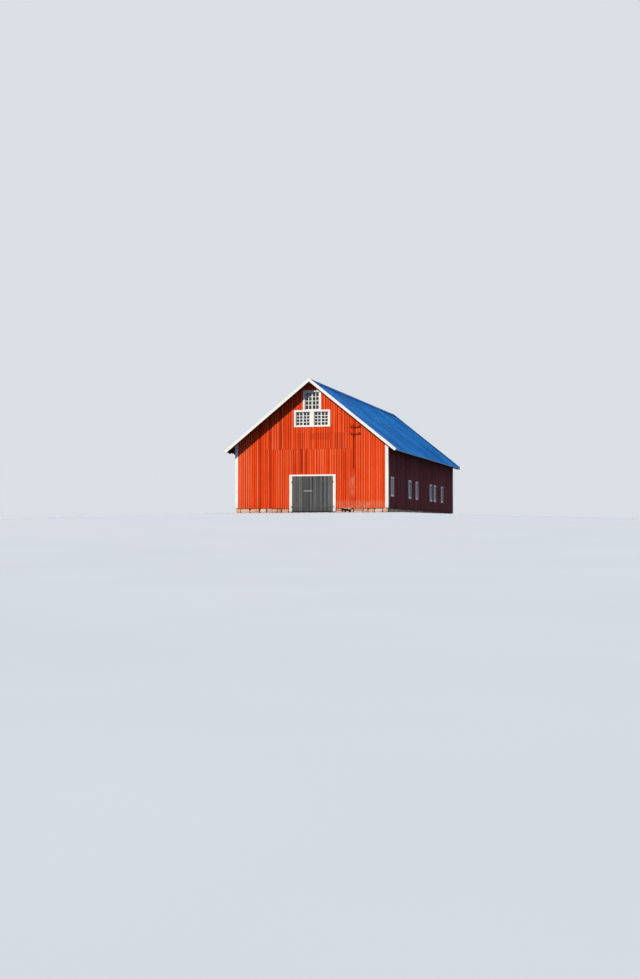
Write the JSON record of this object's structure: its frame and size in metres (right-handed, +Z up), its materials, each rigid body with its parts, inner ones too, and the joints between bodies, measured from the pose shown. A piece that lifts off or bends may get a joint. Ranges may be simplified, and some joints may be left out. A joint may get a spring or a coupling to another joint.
{
  "type": "red board barn",
  "caption": "Long red board barn on a stone plinth with a blue sheet-metal gable roof, white trim, glazed gable windows and a hinged double door.",
  "frame": {"origin": "at ground level below the middle of the barn, the bottom centre of its bounding box", "axes": "+X across the barn to the right as seen from the door gable, +Y along the barn from the door gable to the far gable, +Z up"},
  "size_m": [14.057, 34, 10.6639],
  "materials": {
    "plinth_stone": "rough split stone with open joints",
    "floor_concrete": "worn matt concrete",
    "red_boards": "weathered red distemper on sawn boards",
    "white_boards": "white painted boards, worn",
    "roof_metal": "sky-blue painted sheet metal, satin",
    "bare_timber": "aged bare sawn timber",
    "door_boards": "grey weathered boards",
    "pale_wood": "pale planed wood",
    "painted_iron": "dull dark red paint over iron, rusting",
    "grey_iron": "weathered dull grey forged iron",
    "window_glass": "clear old glass",
    "dark_ceramic": "glazed dark brown"
  },
  "bodies": {
    "barn": {"back_wall": "red_boards", "conduit": "painted_iron", "corner_boards": "white_boards", "door_pintles": "grey_iron", "door_side_casings": "white_boards", "door_threshold": "plinth_stone", "door_top_board": "white_boards", "eave_blocks": "red_boards", "floor_slab": "floor_concrete", "foundation_back": "plinth_stone", "foundation_front": "plinth_stone", "foundation_sides": "plinth_stone", "front_gable": "red_boards", "front_wall_left": "red_boards", "front_wall_right": "red_boards", "gable_casings": "white_boards", "gable_panels": "white_boards", "gable_window_frames": "white_boards", "gable_window_glass": "window_glass", "insulator_bracket": "painted_iron", "insulators": "dark_ceramic", "left_wall": "red_boards", "loft_beams": "bare_timber", "loft_floor": "bare_timber", "loft_joists": "bare_timber", "loft_posts": "bare_timber", "rafters": "bare_timber", "rake_boards_left": "white_boards", "rake_boards_right": "white_boards", "ridge_board": "bare_timber", "ridge_cap": "roof_metal", "right_wall": "red_boards", "roof_deck_left": "bare_timber", "roof_deck_right": "bare_timber", "roof_sheet_left": "roof_metal", "roof_sheet_right": "roof_metal", "side_casings": "white_boards", "side_window_frames": "white_boards", "side_window_glass": "window_glass", "wall_plates": "bare_timber"},
    "door_left": {"door_leaf_left": "door_boards", "door_ledges_left": "door_boards", "door_straps_left": "grey_iron", "latch_bar": "pale_wood"},
    "door_right": {"door_leaf_right": "door_boards", "door_ledges_right": "door_boards", "door_straps_right": "grey_iron"}
  },
  "joints": [
    {"name": "door_left_hinge", "type": "hinge", "parent": "barn", "child": "door_left", "pos_m": [-1.54, -16.45, 1.5], "axis": [0, 0, -1], "range_deg": [0, 170]},
    {"name": "door_right_hinge", "type": "hinge", "parent": "barn", "child": "door_right", "pos_m": [1.83, -16.45, 1.5], "axis": [0, 0, 1], "range_deg": [0, 170]}
  ]
}
